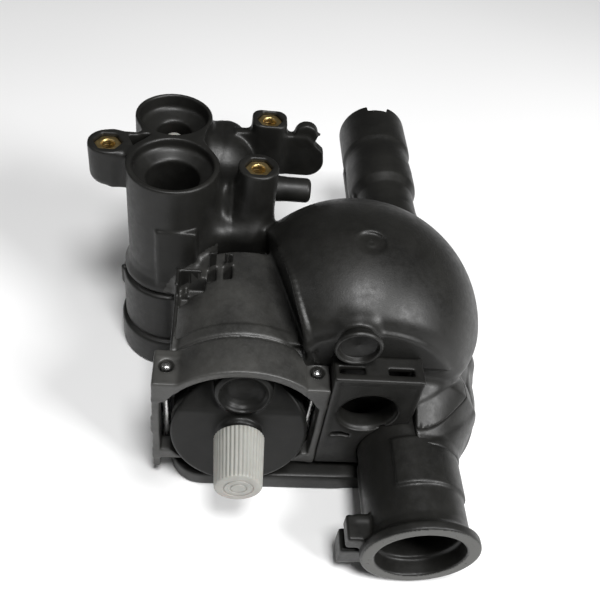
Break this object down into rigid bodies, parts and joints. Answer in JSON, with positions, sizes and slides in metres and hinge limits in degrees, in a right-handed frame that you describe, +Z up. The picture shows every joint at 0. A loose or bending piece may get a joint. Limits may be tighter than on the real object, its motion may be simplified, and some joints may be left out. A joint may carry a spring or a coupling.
{
  "type": "boiler diverter valve block",
  "caption": "Moulded boiler hydraulic block with a knob-operated diverter valve, twin port tower, pump dome and flanged tubes.",
  "frame": {"origin": "centre of the port tower's flat underside, on the plane the block stands on", "axes": "+Z up along the tower's axis, +Y from the knob and flow flange towards the return tube, +X from the tower towards the pump dome"},
  "size_m": [0.1891, 0.235, 0.1064],
  "materials": {
    "black_nylon": "moulded glass-filled nylon, semi-matt black with fine grain",
    "bonnet_nylon": "moulded glass-filled nylon, smooth black",
    "grey_plastic": "light grey moulded plastic",
    "brass": "machined brass",
    "steel": "plain stainless steel",
    "rubber": "black EPDM rubber"
  },
  "bodies": {
    "housing": {"upper_housing": "black_nylon", "pump_casing": "black_nylon", "diverter_barrel": "black_nylon", "flow_tube": "black_nylon", "return_tube": "black_nylon", "hose_spigot": "black_nylon", "bracket_plate": "black_nylon", "sensor_plug": "black_nylon", "insert_left": "brass", "insert_front": "brass", "insert_rear": "brass", "bonnet": "bonnet_nylon", "bonnet_seal": "rubber", "front_seat": "brass", "rear_seat": "brass", "check_body": "grey_plastic", "return_spring": "steel", "check_spring": "steel"},
    "knob": {"knob": "grey_plastic"},
    "spindle": {"spindle": "steel", "front_poppet": "brass", "front_washer": "rubber", "rear_poppet": "brass", "rear_washer": "rubber"},
    "check_poppet": {"check_poppet": "grey_plastic"},
    "pin_left": {"pin_left": "steel"},
    "pin_right": {"pin_right": "steel"}
  },
  "joints": [
    {"name": "knob_turn", "type": "hinge", "parent": "housing", "child": "knob", "pos_m": [0.0334, -0.089, 0.0385], "axis": [0, 1, 0], "range_deg": [0, 180]},
    {"name": "spindle_slide", "type": "slide", "parent": "housing", "child": "spindle", "axis": [0, 1, 0], "range_m": [0, 0.005], "deforming": ["return_spring"]},
    {"name": "check_slide", "type": "slide", "parent": "housing", "child": "check_poppet", "axis": [0, 0, 1], "range_m": [-0.004, 0], "stiffness_N_per_m": 60, "springref_m": 0.003, "deforming": ["check_spring"]},
    {"name": "pin_left_pull", "type": "slide", "parent": "housing", "child": "pin_left", "axis": [0, 0, 1], "range_m": [0, 0.055]},
    {"name": "pin_right_pull", "type": "slide", "parent": "housing", "child": "pin_right", "axis": [0, 0, 1], "range_m": [0, 0.055]}
  ],
  "couplings": [
    {"joint": "spindle_slide", "follows": "knob_turn", "m_per_rad": 0.00159}
  ]
}
